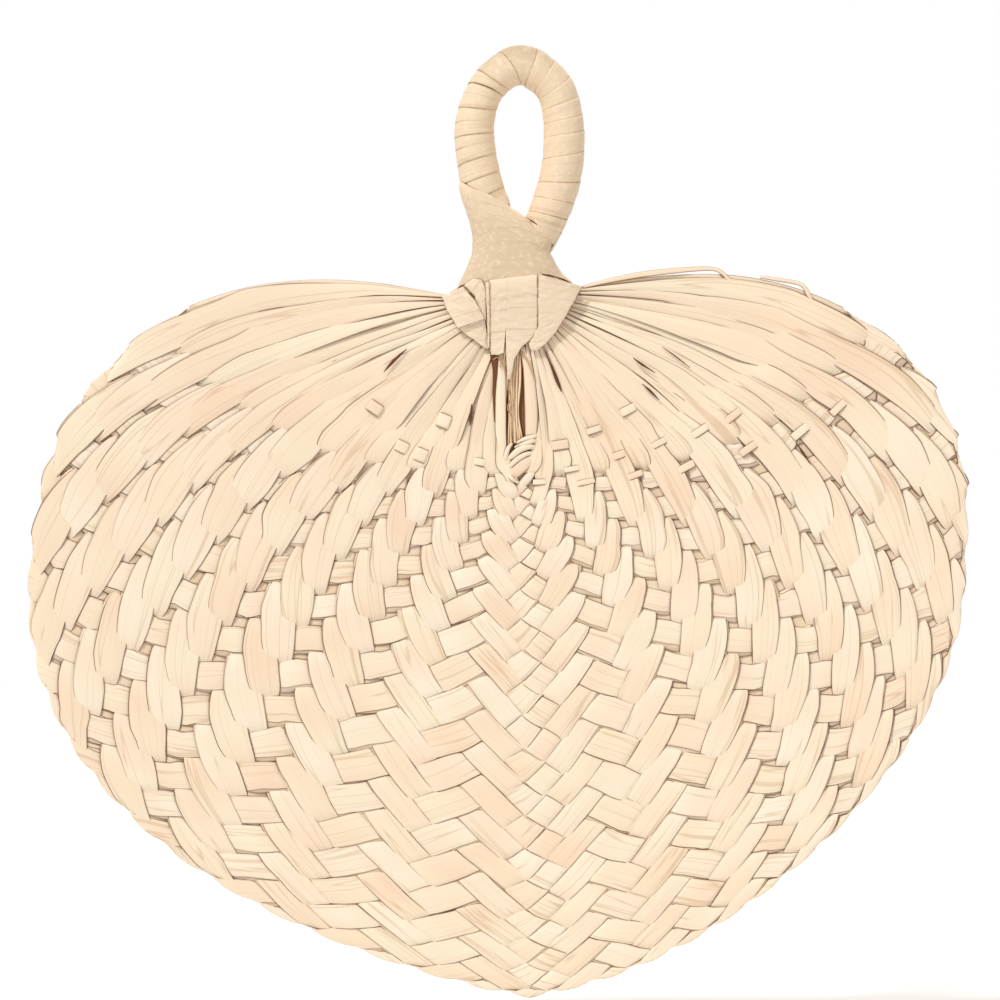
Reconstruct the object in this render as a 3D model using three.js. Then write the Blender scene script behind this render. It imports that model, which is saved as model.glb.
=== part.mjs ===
// Raffia fan: a round blade plaited from folded leaf strips, a bound neck and a wrapped hanging loop.
// Millimetres, +Z up, the front faces -Y. The origin is the inside top of the loop's hole.
import * as THREE from "three";

// Main sizes of the plaited blade: half its width, and heights below the loop's hole
const BLADE_HALF_WIDTH = 139.4;
const WIDEST_HEIGHT = -147.5;
const EYE_HEIGHT = -113.5;
const TIP_HEIGHT = -272;
const CORNER_HALF_WIDTH = 95;
const CORNER_HEIGHT = -63.2;

// Outline of the right half of the blade, as points (x, z) with the handles of its curves
const EYE = new THREE.Vector2(0, EYE_HEIGHT);
const TIP = new THREE.Vector2(0, TIP_HEIGHT);
const SIDE = new THREE.Vector2(BLADE_HALF_WIDTH, WIDEST_HEIGHT);
const CORNER = new THREE.Vector2(CORNER_HALF_WIDTH, CORNER_HEIGHT);
const TIP_HANDLE = new THREE.Vector2(57, 9.5);
const SIDE_HANDLE_BELOW = 66;
const SIDE_HANDLE_ABOVE = 29;
const CORNER_HANDLE = new THREE.Vector2(42, -25);
const TOP_EDGE_HANDLE = new THREE.Vector2(59.5, -5);
const WAIST = 9.5;
const LEFT_LEAN = 5.7;
const LEFT_LEAN_FROM = -40;
const LEFT_LEAN_FULL = -140;
const SKEW = 0.135;
const TIP_LEAN = 3;

// Plait: steps from corner to corner round the rim, with one strip folded back at each step between
const RIM_STEPS = 40;
const STEPS_BELOW_SIDE = 14;
const ROW_START = 0.25;
const ROW_SWELL = 1.75;
const FLOAT = 2;

// Leaf strips
const STRIP_THICKNESS = 0.45;
const LAYER_GAP = 0.39;
const STRIP_COVER = 0.82;
const FAN_COVER = 1.5;
const FOOT_COVER = 1.36;
const FOLD_OVERRUN = 0.05;
const FOLD_BULGE = 0.45;
const MOST_SAG = 0.45;

// Feet of the strips, along a slanted line on each side of the collar
const FOOT_LOW = new THREE.Vector2(1.2, -75);
const FOOT_HIGH = new THREE.Vector2(15.5, -60.5);
const LEAVE_LOW = THREE.MathUtils.degToRad(-88);
const LEAVE_HIGH = THREE.MathUtils.degToRad(11);
const ARRIVE_LOW = 0.05;
const ARRIVE_HIGH = 0.35;
const ARRIVE_AIM = 0.05;
const FAN_END = 0.7;

// Hanging loop: centre line of the left leg, the top and the right leg
const LOOP_LINE = [
  [-8.6, -37.7], [-9.2, -35.2], [-11.7, -27.4], [-12.7, -17.6], [-12, -7], [-7.1, 3.2], [0, 6.1],
  [7.1, 3.2], [12.4, -7], [13.2, -17.6], [12.2, -27.4], [9.3, -35.2], [8.6, -37.7],
];
const LOOP_CORE_RADIUS = 4.9;
const LOOP_CORE_STEPS = 30;
const LOOP_CORE_SIDES = 10;
const LOOP_TURNS = 14;

// Flat raffia wound round the loop and the neck
const WRAP_THICKNESS = 0.9;
const WRAP_SEAT = 0.3;
const TURN_GAP = 1.7;
const NECK_TURN_GAP = 0.6;
const NECK_TURNS = 4;
const LOOP_STEPS_PER_TURN = 12;
const NECK_STEPS_PER_TURN = 24;

// Neck: an oval bundle, as heights and half widths, with a waist and a flare over the blade
const NECK_PROFILE = [[-39, 13.6], [-44, 11.6], [-52, 11.7], [-57.2, 16.2]];
const NECK_CENTRE = -1.8;
const NECK_HALF_DEPTH = 5;
const NECK_SIDES = 24;

// Root: the wedge of gathered leaf ends under the collar
const ROOT_HALF_WIDTH = 16.6;
const ROOT_HALF_DEPTH_TOP = 5.4;
const ROOT_HALF_DEPTH_BOTTOM = 1.3;

// Collar flaps, outlines in front view
const FLAP_THICKNESS = 0.7;
const LEFT_FLAP = [
  [-11.3, -57.8], [-16.7, -59.8], [-23.5, -63.7], [-17.6, -72.6], [-10.4, -69.6], [-9.4, -61.6],
];
const TONGUE = [
  [-8.9, -57.8], [-8.9, -72], [-4.8, -75.9], [-2.1, -81], [1.8, -77.4], [4.9, -72], [4.9, -57.8],
];
const RIGHT_FLAP = [[5.3, -57.8], [5.3, -71.4], [3.9, -79.2], [14.6, -67.9], [19, -59.8], [15.8, -58.2]];
const BACK_FLAP = [
  [-16.6, -57.8], [-21, -62.5], [-15, -70], [-4, -80], [4, -80], [15, -70], [19.5, -62], [16.6, -57.8],
];
const CLEARANCE = 0.3;

// Loose fibre that hangs from the root down the middle, to the eye of the plait
const FIBRE = [[0.9, -75.2], [-0.9, -75.2], [-0.35, -111], [0.35, -111]];
const FIBRE_THICKNESS = 0.8;

const STRAW = 0xf3dcc0;
const WEFT_STRAW = 0xf8e4c8;
const TAN = 0xe6cdac;

const fan = new THREE.Group();
fan.name = "raffia_fan";

// Adds one named piece with a matt material of its own
function addPiece(name, geometry, colour) {
  const material = new THREE.MeshStandardMaterial({ color: colour, roughness: 0.75, metalness: 0 });
  const mesh = new THREE.Mesh(geometry, material);
  mesh.name = name;
  fan.add(mesh);
  return mesh;
}

// A closed body through rings of points, each ring with the same number of corners
function loft(rings) {
  const corners = rings[0].length;
  const positions = rings.flatMap((ring) => ring.flatMap((point) => point.toArray()));
  const faces = [];
  for (let n = 0; n + 1 < rings.length; n++) {
    for (let c = 0; c < corners; c++) {
      const here = n * corners;
      const next = (c + 1) % corners;
      faces.push(here + c, here + next, here + corners + next);
      faces.push(here + c, here + corners + next, here + corners + c);
    }
  }
  const last = (rings.length - 1) * corners;
  for (let c = 1; c + 1 < corners; c++) {
    faces.push(0, c + 1, c);
    faces.push(last, last + c, last + c + 1);
  }
  const geometry = new THREE.BufferGeometry();
  geometry.setAttribute("position", new THREE.Float32BufferAttribute(positions, 3));
  geometry.setIndex(faces);
  geometry.computeVertexNormals();
  return geometry;
}

// Rim of the right half, from the tip up round the widest place to the top corner
const sideBelow = new THREE.Vector2(SIDE.x, SIDE.y - SIDE_HANDLE_BELOW);
const sideAbove = new THREE.Vector2(SIDE.x, SIDE.y + SIDE_HANDLE_ABOVE);
const lowerRim = new THREE.CubicBezierCurve(TIP, TIP.clone().add(TIP_HANDLE), sideBelow, SIDE);
const upperRim = new THREE.CubicBezierCurve(SIDE, sideAbove, CORNER.clone().add(CORNER_HANDLE), CORNER);
const topEdge = new THREE.QuadraticBezierCurve(EYE, EYE.clone().add(TOP_EDGE_HANDLE), CORNER);

function rimPoint(turn) {
  const step = (turn * RIM_STEPS) / 2;
  if (step <= STEPS_BELOW_SIDE) return lowerRim.getPoint(step / STEPS_BELOW_SIDE);
  return upperRim.getPoint((step - STEPS_BELOW_SIDE) / (RIM_STEPS / 2 - STEPS_BELOW_SIDE));
}

// How far out from the eye a row of the plait lies, as a share of the way to the rim
function rowShare(reach) {
  return ROW_START * reach + ROW_SWELL * reach ** 2 + (1 - ROW_START - ROW_SWELL) * reach ** 3;
}

// 0 at both ends and 1 in the middle
const humpOf = (share) => 4 * share * (1 - share);

// Place of the crossing of right strip u and left strip v, both counted out from the eye
function plaitPoint(u, v) {
  const reach = (u + v) / RIM_STEPS;
  const turn = Math.abs(u - v) / Math.max(u + v, 1e-6);
  const share = rowShare(reach);
  const pull = turn ** 2;
  const bow = topEdge.getPoint(reach).sub(EYE.clone().lerp(CORNER, share)).multiplyScalar(pull);
  const point = EYE.clone().lerp(rimPoint(turn), share).add(bow);
  point.x -= WAIST * humpOf(pull) * humpOf(reach);
  if (u < v) point.x = -point.x;
  return point;
}

// Path of a right strip from its foot under the collar (t = 0) to the top edge of the plait (t = 1)
function fanPoint(across, t) {
  const share = across / RIM_STEPS;
  const foot = FOOT_LOW.clone().lerp(FOOT_HIGH, share);
  const angle = THREE.MathUtils.lerp(LEAVE_LOW, LEAVE_HIGH, share);
  const end = plaitPoint(across, 0);
  const reach = foot.distanceTo(end);
  const leave = new THREE.Vector2(Math.cos(angle), Math.sin(angle)).multiplyScalar(reach / 3);
  const sweep = reach * THREE.MathUtils.lerp(ARRIVE_LOW, ARRIVE_HIGH, share);
  const arrive = plaitPoint(across, ARRIVE_AIM).sub(end).setLength(sweep);
  return new THREE.CubicBezierCurve(foot, foot.clone().add(leave), end.clone().sub(arrive), end).getPoint(t);
}

// The left half reaches a little further than the right, and the tip hangs to the right
function lean(point) {
  const side = (point.x / SIDE.x) ** 2;
  const depth = Math.max(0, (EYE.y - point.y) / (EYE.y - TIP.y));
  const drop = THREE.MathUtils.clamp((LEFT_LEAN_FROM - point.y) / (LEFT_LEAN_FROM - LEFT_LEAN_FULL), 0, 1);
  const skew = SKEW * Math.abs(point.x) * depth ** 2 * (1 - depth ** 8);
  point.x += TIP_LEAN * depth * (1 - side) - LEFT_LEAN * side * drop - skew;
  return point;
}

// Herringbone: each strip floats over two and under two, and the order turns round at the middle
function leftIsOver(left, right) {
  const column = right - left;
  const phase = THREE.MathUtils.euclideanModulo(column, 2 * FLOAT);
  return column > 0 ? phase < FLOAT : phase >= FLOAT;
}

const LIFT = (STRIP_THICKNESS + LAYER_GAP) / 2;

// Places between two sections where a strip bends more than a straight piece can follow
function bendPlaces(route, own, from, to) {
  const middle = (from + to) / 2;
  const straight = route(own, from).lerp(route(own, to), 0.5);
  if (route(own, middle).distanceTo(straight) < MOST_SAG) return [];
  return [...bendPlaces(route, own, from, middle), middle, ...bendPlaces(route, own, middle, to)];
}

// Sections of one leg of a strip, from its foot to its last crossing before the rim
function legSections(own, isLeft) {
  const place = (point) => lean(isLeft ? new THREE.Vector2(-point.x, point.y) : point);
  const sections = [];
  const add = (route, at, cover, y) => sections.push({
    inner: place(route(own - cover / 2, at)),
    outer: place(route(own + cover / 2, at)),
    y,
  });
  const levelAt = (other) => {
    const over = isLeft ? leftIsOver(own, other) : !leftIsOver(other, own);
    return over ? -LIFT : LIFT;
  };
  const gap = (1 - STRIP_COVER) / 2;
  const crossings = RIM_STEPS - own;
  let level = own % 2 === 0 ? -LIFT : LIFT;
  add(fanPoint, 0, FOOT_COVER, level);
  [...bendPlaces(fanPoint, own, 0, FAN_END), FAN_END].forEach((t) => add(fanPoint, t, FAN_COVER, level));
  let last = 0;
  const runTo = (at) => {
    const bends = bendPlaces(plaitPoint, own, last, at);
    [...bends, at].forEach((w) => add(plaitPoint, w, STRIP_COVER, level));
    last = at;
  };
  add(plaitPoint, 0, STRIP_COVER, level);
  for (let other = 1; other <= crossings; other++) {
    const next = levelAt(other);
    if (next === level) continue;
    if (other > 1) runTo(other - 0.5 - gap);
    level = next;
    last = other - 0.5 + gap;
    add(plaitPoint, last, STRIP_COVER, level);
  }
  if (crossings - last > 1) runTo(crossings - 0.5 + gap);
  return sections;
}

// Fold line of strip k at the rim, pushed out by a share of a step
function foldEnds(k, push) {
  const half = STRIP_COVER / 2;
  const u = RIM_STEPS - k + push;
  const v = k + push;
  return { a: lean(plaitPoint(u + half, v - half)), b: lean(plaitPoint(u - half, v + half)) };
}

// Leaf strip k: out from the left of the collar, folded back at the rim and home to the right.
// It is creased along its middle, with the crease behind on the left leg and in front on the right.
function leafStrip(k) {
  const left = legSections(k, true);
  const right = legSections(RIM_STEPS - k, false);
  const half = STRIP_THICKNESS / 2;
  const ring = (a, b, y, creaseSide, ridge) => {
    const crease = ridge ?? a.clone().lerp(b, 0.5);
    return [
      new THREE.Vector3(a.x, y - creaseSide * half, a.y),
      new THREE.Vector3(b.x, y - creaseSide * half, b.y),
      new THREE.Vector3(crease.x, y + creaseSide * half, crease.y),
    ];
  };
  const rings = left.map((s) => ring(s.inner, s.outer, s.y, 1));
  const fold = foldEnds(k, FOLD_OVERRUN);
  const ahead = foldEnds(k, 2 * FOLD_OVERRUN);
  const push = (from, to) => from.clone().add(to.clone().sub(from).setLength(FOLD_BULGE));
  const middle = fold.a.clone().lerp(fold.b, 0.5);
  const leftY = left.at(-1).y;
  rings.push(ring(fold.a, fold.b, leftY, 1));
  if (leftY > 0) {
    const bulge = push(middle, ahead.a.clone().lerp(ahead.b, 0.5));
    rings.push(ring(fold.a, fold.b, 0, 0, bulge));
  } else {
    rings.push(ring(push(fold.a, ahead.a), push(fold.b, ahead.b), 0, 0, middle));
  }
  rings.push(ring(fold.a, fold.b, -leftY, -1));
  right.reverse().forEach((s) => rings.push(ring(s.outer, s.inner, s.y, -1)));
  return loft(rings);
}

for (let k = 1; k < RIM_STEPS; k++) {
  const name = `leaf_strip_${String(k).padStart(2, "0")}`;
  addPiece(name, leafStrip(k), k % 2 === 0 ? STRAW : WEFT_STRAW);
}

// Core of the loop: the leaf ends bent round as one bundle
const loopCurve = new THREE.CatmullRomCurve3(LOOP_LINE.map(([x, z]) => new THREE.Vector3(x, 0, z)));
const loopLength = loopCurve.getLength();

// Point beside the loop's centre line: s along it, the angle round it and the distance from it
function besideLoop(s, angle, radius) {
  const share = THREE.MathUtils.clamp(s / loopLength, 0, 1);
  const centre = loopCurve.getPointAt(share);
  const tangent = loopCurve.getTangentAt(share);
  const inward = new THREE.Vector3(-tangent.z, 0, tangent.x);
  return centre
    .addScaledVector(inward, radius * Math.cos(angle))
    .add(new THREE.Vector3(0, radius * Math.sin(angle), 0));
}

function loopCore() {
  const rings = [];
  for (let n = 0; n <= LOOP_CORE_STEPS; n++) {
    const ring = [];
    for (let c = 0; c < LOOP_CORE_SIDES; c++) {
      const angle = (-2 * Math.PI * c) / LOOP_CORE_SIDES;
      ring.push(besideLoop((loopLength * n) / LOOP_CORE_STEPS, angle, LOOP_CORE_RADIUS));
    }
    rings.push(ring);
  }
  return loft(rings);
}
addPiece("loop_core", loopCore(), TAN);

// One unbroken flat ribbon wound in a helix; place() gives a point at (way along, angle, height)
function winding(place, length, turns, turnGap, stepsPerTurn) {
  const pitch = length / (turns + 1);
  const half = (pitch - turnGap) / 2;
  const rings = [];
  for (let n = 0; n <= turns * stepsPerTurn; n++) {
    const turn = n / stepsPerTurn;
    const middle = pitch / 2 + pitch * turn;
    const angle = -2 * Math.PI * turn;
    rings.push([
      place(middle - half, angle, 0),
      place(middle, angle, 0),
      place(middle + half, angle, 0),
      place(middle + half, angle, WRAP_THICKNESS),
      place(middle, angle, WRAP_THICKNESS),
      place(middle - half, angle, WRAP_THICKNESS),
    ]);
  }
  return rings;
}

// Least gap between neighbouring turns of a winding, measured between the corners of its rings
function leastGap(rings, stepsPerTurn) {
  let least = Infinity;
  for (let n = 0; n + stepsPerTurn < rings.length; n++) {
    for (const upper of [rings[n][2], rings[n][3]]) {
      for (let m = -2; m <= 2; m++) {
        const ring = rings[n + stepsPerTurn + m];
        if (ring) least = Math.min(least, upper.distanceTo(ring[0]), upper.distanceTo(ring[5]));
      }
    }
  }
  return least;
}

const onLoop = (s, angle, height) => besideLoop(s, angle, LOOP_CORE_RADIUS + WRAP_SEAT + height);
const loopRings = winding(onLoop, loopLength, LOOP_TURNS, TURN_GAP, LOOP_STEPS_PER_TURN);
addPiece("loop_winding", loft(loopRings), TAN);

// Oval of the neck at a height, grown outwards
function neckPoint(z, angle, grow) {
  const lower = NECK_PROFILE.find(([height]) => height <= z) ?? NECK_PROFILE.at(-1);
  const upper = NECK_PROFILE.findLast(([height]) => height > z) ?? NECK_PROFILE[0];
  const share = lower === upper ? 0 : (upper[0] - z) / (upper[0] - lower[0]);
  const halfWidth = THREE.MathUtils.lerp(upper[1], lower[1], share) + grow;
  const x = NECK_CENTRE + halfWidth * Math.cos(angle);
  return new THREE.Vector3(x, (NECK_HALF_DEPTH + grow) * Math.sin(angle), z);
}

function neckCore() {
  return loft(NECK_PROFILE.toReversed().map(([z]) => {
    const ring = [];
    for (let c = 0; c < NECK_SIDES; c++) ring.push(neckPoint(z, (2 * Math.PI * c) / NECK_SIDES, 0));
    return ring;
  }));
}
addPiece("neck_core", neckCore(), TAN);

const neckTop = NECK_PROFILE[0][0];
const neckBottom = NECK_PROFILE.at(-1)[0];
const neckLength = neckTop - neckBottom;
const onNeck = (down, angle, height) => neckPoint(neckTop - down, angle, WRAP_SEAT + height);
const neckRings = winding(onNeck, neckLength, NECK_TURNS, NECK_TURN_GAP, NECK_STEPS_PER_TURN);
addPiece("neck_winding", loft(neckRings), TAN);

console.log("least gap of loop_winding to itself", leastGap(loopRings, LOOP_STEPS_PER_TURN).toFixed(2), "mm");
console.log("least gap of neck_winding to itself", leastGap(neckRings, NECK_STEPS_PER_TURN).toFixed(2), "mm");

// Half depth of the root at a height: thick under the neck and thin where the leaf strips start
const rootTop = neckBottom - CLEARANCE;
function rootHalfDepth(z) {
  const share = (rootTop - z) / (rootTop - FOOT_LOW.y);
  return THREE.MathUtils.lerp(ROOT_HALF_DEPTH_TOP, ROOT_HALF_DEPTH_BOTTOM, Math.min(share, 1));
}

// An outline in front view, counted anticlockwise, between a front and a back that follow the height
function slab(outline, frontY, backY) {
  const corners = outline.map(([x, z]) => new THREE.Vector2(x, z));
  const faces = THREE.ShapeUtils.triangulateShape(corners, []);
  const count = corners.length;
  const positions = [frontY, backY].flatMap((y) => outline.flatMap(([x, z]) => [x, y(z), z]));
  const index = faces.flatMap(([a, b, c]) => [a, b, c, count + a, count + c, count + b]);
  corners.forEach((_, c) => {
    const next = (c + 1) % count;
    index.push(c, count + c, count + next, c, count + next, next);
  });
  const geometry = new THREE.BufferGeometry();
  geometry.setAttribute("position", new THREE.Float32BufferAttribute(positions, 3));
  geometry.setIndex(index);
  geometry.computeVertexNormals();
  return geometry;
}

function root() {
  const slant = FOOT_HIGH.clone().sub(FOOT_LOW).normalize();
  const inward = new THREE.Vector2(-slant.y, slant.x).multiplyScalar(CLEARANCE);
  const low = FOOT_LOW.clone().add(inward);
  const high = FOOT_HIGH.clone().add(inward);
  const outline = [
    [ROOT_HALF_WIDTH, rootTop], [high.x, high.y], [low.x, low.y],
    [-low.x, low.y], [-high.x, high.y], [-ROOT_HALF_WIDTH, rootTop],
  ];
  return slab(outline.reverse(), (z) => -rootHalfDepth(z), rootHalfDepth);
}
addPiece("gathered_root", root(), STRAW);

// A collar flap lies on the root's sloping face, with a small clearance
function flap(outline, side) {
  const inner = (z) => side * (rootHalfDepth(z) + CLEARANCE);
  const outer = (z) => side * (rootHalfDepth(z) + CLEARANCE + FLAP_THICKNESS);
  return side < 0 ? slab(outline, outer, inner) : slab(outline, inner, outer);
}
addPiece("collar_left_flap", flap(LEFT_FLAP, -1), TAN);
addPiece("collar_tongue", flap(TONGUE, -1), TAN);
addPiece("collar_right_flap", flap(RIGHT_FLAP, -1), TAN);
addPiece("collar_back_flap", flap(BACK_FLAP, 1), TAN);
addPiece("middle_fibre", slab(FIBRE, () => -FIBRE_THICKNESS / 2, () => FIBRE_THICKNESS / 2), TAN);

export default fan;
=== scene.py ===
import math

import bpy
import numpy as np
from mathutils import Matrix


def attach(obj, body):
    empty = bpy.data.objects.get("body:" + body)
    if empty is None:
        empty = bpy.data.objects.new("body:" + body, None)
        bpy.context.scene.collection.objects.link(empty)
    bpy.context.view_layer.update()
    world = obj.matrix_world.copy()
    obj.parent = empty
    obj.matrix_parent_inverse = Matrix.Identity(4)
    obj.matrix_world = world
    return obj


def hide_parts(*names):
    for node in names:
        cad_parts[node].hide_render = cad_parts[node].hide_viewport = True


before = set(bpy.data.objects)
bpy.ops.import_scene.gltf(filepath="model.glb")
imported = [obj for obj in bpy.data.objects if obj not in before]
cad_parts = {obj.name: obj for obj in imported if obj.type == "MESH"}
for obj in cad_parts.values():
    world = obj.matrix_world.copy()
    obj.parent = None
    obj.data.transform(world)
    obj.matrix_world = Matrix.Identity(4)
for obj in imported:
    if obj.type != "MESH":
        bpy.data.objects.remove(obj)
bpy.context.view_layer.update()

# The photographer's view: straight at the front from far away, in white surroundings. The blade's width of
# 11 inches gives the size of a pixel, and the frame's origin is the inside top of the loop's hole.
MM = 0.001
BLADE_WIDTH = 279.4
BLADE_PIXELS = 939
MM_PER_PIXEL = BLADE_WIDTH / BLADE_PIXELS
PHOTO_PIXELS = 1000
LOOP_TOP_PIXEL = (519, 85)
CAMERA_DISTANCE = 1600.0
VIEW_DEPTH = 20000.0
SENSOR = 36.0


def at_pixel(x, y):
    """Place (x, z) in mm on the plane of the blade that a pixel of the photo shows."""
    return (x - LOOP_TOP_PIXEL[0]) * MM_PER_PIXEL, (LOOP_TOP_PIXEL[1] - y) * MM_PER_PIXEL


middle_x, middle_z = at_pixel(PHOTO_PIXELS / 2, PHOTO_PIXELS / 2)
camera_data = bpy.data.cameras.new("photo_camera")
camera_data.sensor_width = SENSOR
camera_data.lens = SENSOR * CAMERA_DISTANCE / (PHOTO_PIXELS * MM_PER_PIXEL)
camera_data.clip_end = VIEW_DEPTH * MM
camera = bpy.data.objects.new("photo_camera", camera_data)
camera.location = (middle_x * MM, -CAMERA_DISTANCE * MM, middle_z * MM)
camera.rotation_euler = (math.pi / 2, 0, 0)
bpy.context.collection.objects.link(camera)
bpy.context.scene.camera = camera
bpy.context.scene.view_settings.view_transform = "Standard"

# The studio: soft warm light from all sides, and white surroundings where the camera or a reflection looks.
# One lamp stands high at the front left, and a weaker one lights the back.
AMBIENT = 0.6
AMBIENT_COLOUR = "FFF9F1"
WHITE = "FFFFFF"


def linear(hex_colour):
    """An sRGB colour such as "F8E4C8" as linear red, green, blue and alpha."""
    values = [int(hex_colour[n:n + 2], 16) / 255 for n in (0, 2, 4)]
    return [v / 12.92 if v <= 0.04045 else ((v + 0.055) / 1.055) ** 2.4 for v in values] + [1.0]


def add_node(tree, kind, settings, inputs):
    """Adds a node, sets its properties, and sets or links its inputs by name or number."""
    node = tree.nodes.new(kind)
    for name, value in settings.items():
        setattr(node, name, value)
    for key, value in inputs.items():
        if isinstance(value, bpy.types.NodeSocket):
            tree.links.new(value, node.inputs[key])
        else:
            node.inputs[key].default_value = value
    return node


world = bpy.data.worlds.new("white_studio")
bpy.context.scene.world = world
world.use_nodes = True
sky = world.node_tree
sky.nodes.clear()
rays = add_node(sky, "ShaderNodeLightPath", {}, {})
seen = add_node(sky, "ShaderNodeMath", {"operation": "MAXIMUM"},
                {0: rays.outputs["Is Camera Ray"], 1: rays.outputs["Is Glossy Ray"]})
ambient = add_node(sky, "ShaderNodeBackground", {}, {"Color": linear(AMBIENT_COLOUR), "Strength": AMBIENT})
white = add_node(sky, "ShaderNodeBackground", {}, {"Color": linear(WHITE), "Strength": 1.0})
mixed = add_node(sky, "ShaderNodeMixShader", {},
                 {0: seen.outputs[0], 1: ambient.outputs[0], 2: white.outputs[0]})
add_node(sky, "ShaderNodeOutputWorld", {}, {"Surface": mixed.outputs[0]})


def add_sun(name, strength, spread, turn, height):
    """A soft lamp at infinity: turn is degrees round from the front, to the left where negative."""
    data = bpy.data.lights.new(name, "SUN")
    data.energy = strength
    data.angle = math.radians(spread)
    lamp = bpy.data.objects.new(name, data)
    lamp.rotation_euler = (math.radians(90 - height), 0, math.radians(turn))
    bpy.context.collection.objects.link(lamp)


add_sun("key_lamp", strength=1.8, spread=7, turn=-38, height=48)
add_sun("back_lamp", strength=0.7, spread=25, turn=150, height=35)

# The floor is matt white paper a little under the fan, which hangs from its loop. The camera sees it pure
# white with a little glow, so that only the fan's soft shadow shows, and light from it comes back greyer.
FLOOR_HEIGHT = -285.0
FLOOR_SIZE = 6000.0
PAPER_GREY = "E8E8E8"
PAPER_GLOW = 0.2
bpy.ops.mesh.primitive_plane_add(size=FLOOR_SIZE * MM, location=(0, 0, FLOOR_HEIGHT * MM))
floor = bpy.context.object
floor.name = "floor"
paper = bpy.data.materials.new("matt white paper")
paper.use_nodes = True
tree = paper.node_tree
rays = add_node(tree, "ShaderNodeLightPath", {}, {})
tint = add_node(tree, "ShaderNodeMix", {"data_type": "RGBA"},
                {0: rays.outputs["Is Camera Ray"], 6: linear(PAPER_GREY), 7: linear(WHITE)})
glow = add_node(tree, "ShaderNodeMath", {"operation": "MULTIPLY"},
                {0: rays.outputs["Is Camera Ray"], 1: PAPER_GLOW})
shader = tree.nodes["Principled BSDF"]
shader.inputs["Roughness"].default_value = 1.0
shader.inputs["Specular IOR Level"].default_value = 0.0
shader.inputs["Emission Color"].default_value = linear(WHITE)
tree.links.new(tint.outputs[2], shader.inputs["Base Color"])
tree.links.new(glow.outputs[0], shader.inputs["Emission Strength"])
floor.data.materials.append(paper)

# The course of the leaf strips over the blade. Strips are counted 1 to 39 along the rim, and a place on the
# plait has two numbers: u steps of the strips that rise to the right and v of those that rise to the left.
RIM_STEPS = 40
STEPS_BELOW_SIDE = 14
EYE = np.array([0.0, -113.5])
TIP = np.array([0.0, -271.2])
SIDE = np.array([139.3, -147.5])
CORNER = np.array([95.0, -63.2])
LOWER_RIM = [TIP, TIP + [58.5, 9.3], SIDE - [0, 67], SIDE]
UPPER_RIM = [SIDE, SIDE + [0, 29], CORNER + [42, -25], CORNER]
TOP_EDGE = [EYE, EYE + [59.5, -5], CORNER]
WAIST = 9.5
ROW_START = 0.25
ROW_SWELL = 1.75


def bezier(points, t):
    """Bezier curve: each control point weighted by its Bernstein polynomial of t."""
    n = len(points) - 1
    weights = [math.comb(n, i) * t ** i * (1 - t) ** (n - i) for i in range(n + 1)]
    return sum(w[..., None] * p for w, p in zip(weights, points))


def plait_point(u, v):
    """Place (x, z) of crossing (u, v): from the eye out to the rim by a cubic share, bowed to the top edge,
    drawn in at the waist by two parabolas, and mirrored where the place is left of the middle."""
    total = np.maximum(u + v, 1e-6)
    reach = total / RIM_STEPS
    turn = np.abs(u - v) / total
    step = turn * RIM_STEPS / 2
    above = RIM_STEPS / 2 - STEPS_BELOW_SIDE
    lower = bezier(LOWER_RIM, np.clip(step / STEPS_BELOW_SIDE, 0, 1))
    upper = bezier(UPPER_RIM, np.clip((step - STEPS_BELOW_SIDE) / above, 0, 1))
    rim = np.where((step <= STEPS_BELOW_SIDE)[..., None], lower, upper)
    share = ROW_START * reach + ROW_SWELL * reach ** 2 + (1 - ROW_START - ROW_SWELL) * reach ** 3
    pull = (turn ** 2)[..., None]
    share = share[..., None]
    point = EYE + share * (rim - EYE) + pull * (bezier(TOP_EDGE, reach) - EYE - share * (CORNER - EYE))
    point[..., 0] -= WAIST * 4 * turn ** 2 * (1 - turn ** 2) * 4 * reach * (1 - reach)
    point[..., 0] *= np.where(u < v, -1, 1)
    return point


# The free ends of the strips: under the collar every strip starts at a foot, and from there they spread out
# like a hand of cards. Most of them come into the plait some steps below its top. Sweeps are shares of the
# distance from the foot to there.
FOOT_LOW = np.array([1.2, -75.0])
FOOT_HIGH = np.array([15.5, -60.5])
LEAVE_LOW = math.radians(-88)
LEAVE_HIGH = math.radians(11)
SWEEP_LOW = 0.3
SWEEP_HIGH = 0.35
JOIN_STEPS = 4.0
JOIN_RISE = (0, 6)
JOIN_FALL = (16, 32)
LOOK_AHEAD = 0.05


def smooth(x, low, high):
    """Smooth step: 0 below low, 1 above high, and a cubic between them."""
    t = np.clip((x - low) / (high - low), 0, 1)
    return t * t * (3 - 2 * t)


def join(across):
    """How many steps below the top of the plait a strip has come into its woven course: a smooth rise and
    fall over the strips' numbers."""
    return JOIN_STEPS * smooth(across, *JOIN_RISE) * (1 - smooth(across, *JOIN_FALL))


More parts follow.
